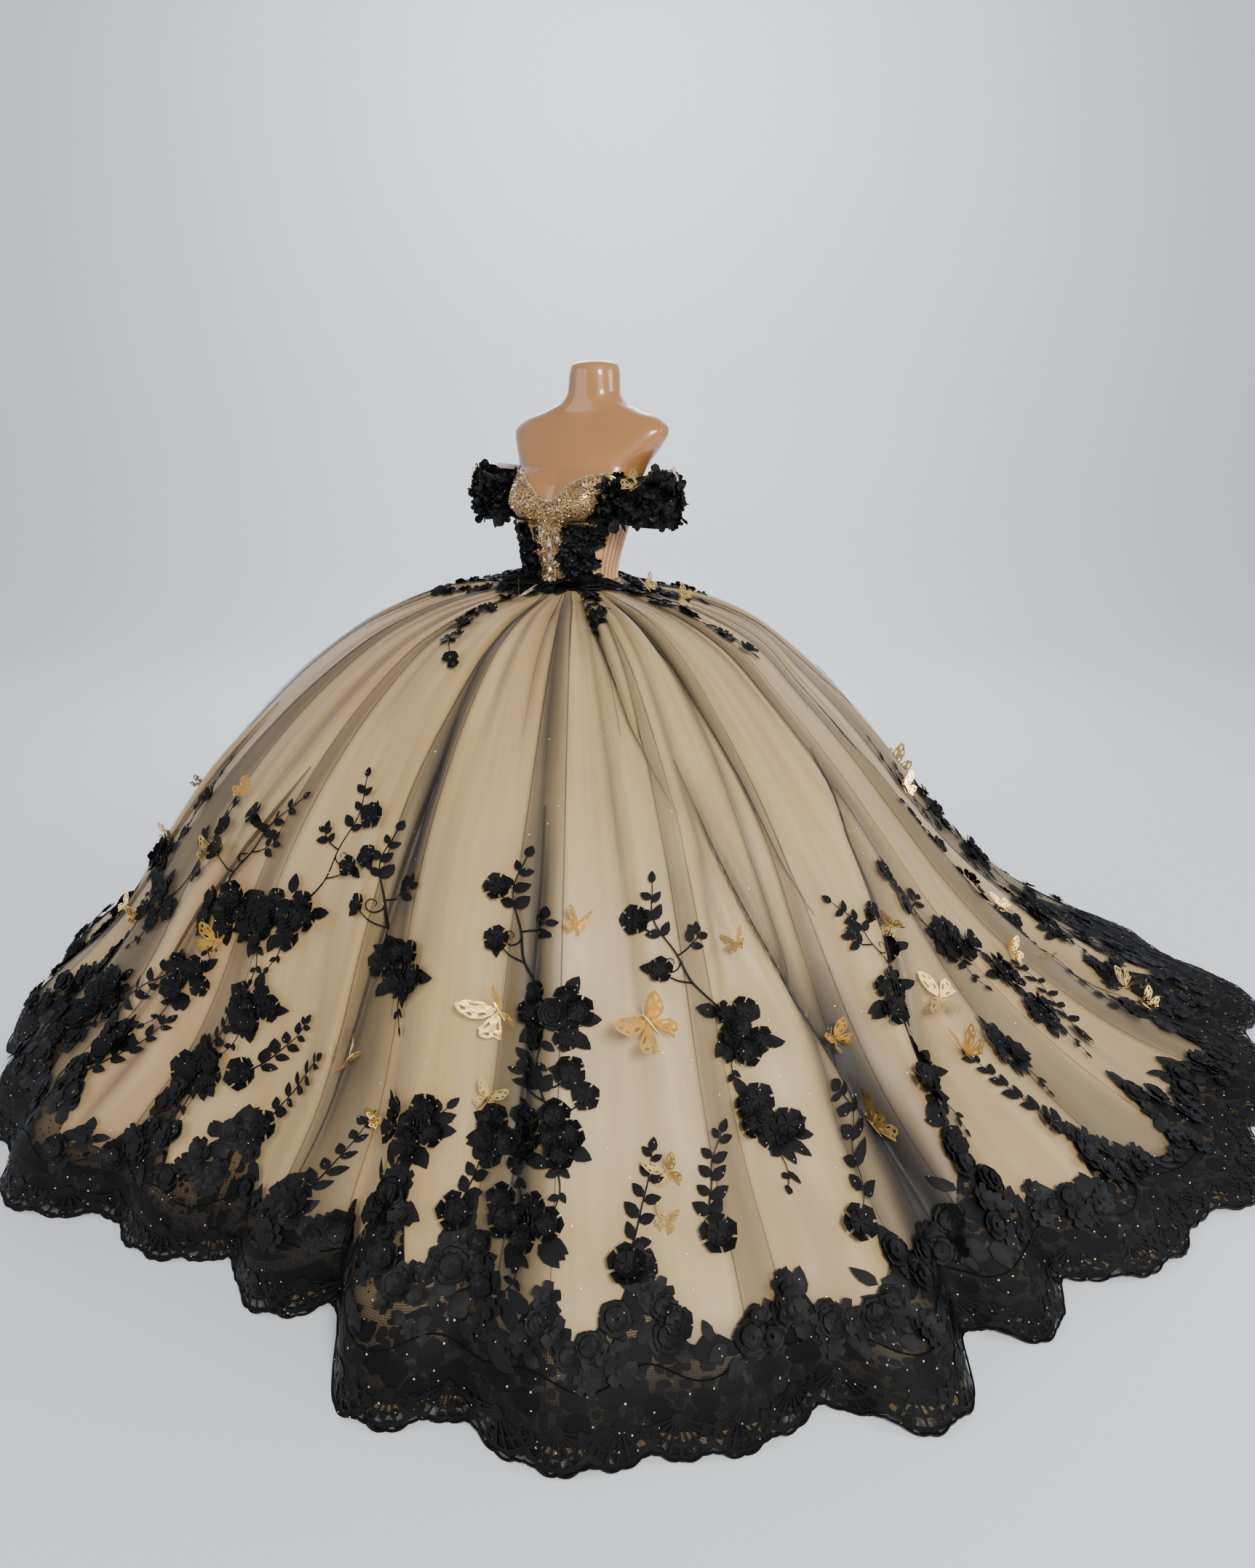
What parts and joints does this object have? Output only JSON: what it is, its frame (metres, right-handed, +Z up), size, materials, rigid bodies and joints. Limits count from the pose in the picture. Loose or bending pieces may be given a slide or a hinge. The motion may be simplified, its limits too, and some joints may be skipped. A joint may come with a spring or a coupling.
{
  "type": "quinceanera dress on a dress form",
  "caption": "Ball gown with an off-the-shoulder beaded bodice, a full folded skirt, a scalloped black lace hem and a side-swept train, on a limbless dress form.",
  "frame": {"origin": "middle of the round base's underside, on the floor", "axes": "-Y is the gown's front, +X the wearer's left, towards which the train is swept, and +Z is up"},
  "size_m": [3.0137, 2.6772, 1.526],
  "materials": {
    "satin": "champagne satin under sheer black tulle",
    "lace": "black lace and raised petals",
    "gold_beading": "dense gold beading",
    "nude_mesh": "skin-tone mesh",
    "blush_satin": "pleated pale satin",
    "gilt_foil": "bright gilt",
    "form_shell": "smooth tan gloss",
    "stand_metal": "satin grey"
  },
  "bodies": {
    "root": {"bodice_centre": "gold_beading", "bodice_cup_left": "gold_beading", "bodice_cup_right": "gold_beading", "bodice_side_front_left": "lace", "bodice_wing_left": "lace", "bodice_side_left": "nude_mesh", "bodice_back_left": "blush_satin", "sleeve_left": "lace", "bodice_side_front_right": "lace", "bodice_wing_right": "lace", "bodice_side_right": "nude_mesh", "bodice_back_right": "blush_satin", "sleeve_right": "lace", "skirt_gore_1": "satin", "skirt_gore_2": "satin", "skirt_gore_3": "satin", "skirt_gore_4": "satin", "skirt_gore_5": "satin", "skirt_gore_6": "satin", "skirt_gore_7": "satin", "skirt_gore_8": "satin", "skirt_gore_9": "satin", "hem_lace_1": "lace", "hem_lace_2": "lace", "hem_lace_3": "lace", "hem_lace_4": "lace", "hem_lace_5": "lace", "hem_lace_6": "lace", "hem_lace_7": "lace", "hem_lace_8": "lace", "hem_lace_9": "lace", "waist_lace_1": "lace", "waist_lace_2": "lace", "rose_1": "lace", "rose_2": "lace", "rose_3": "lace", "rose_4": "lace", "rose_5": "lace", "rose_6": "lace", "rose_7": "lace", "rose_8": "lace", "rose_9": "lace", "rose_10": "lace", "rose_11": "lace", "rose_12": "lace", "rose_13": "lace", "butterfly_1": "gilt_foil", "butterfly_2": "gilt_foil", "butterfly_3": "gilt_foil", "butterfly_4": "gilt_foil", "butterfly_5": "gilt_foil", "butterfly_6": "gilt_foil", "butterfly_7": "gilt_foil", "butterfly_8": "gilt_foil", "butterfly_9": "gilt_foil", "butterfly_10": "gilt_foil", "butterfly_11": "gilt_foil", "form_torso": "form_shell", "form_pole": "stand_metal", "form_base": "stand_metal"}
  },
  "joints": []
}
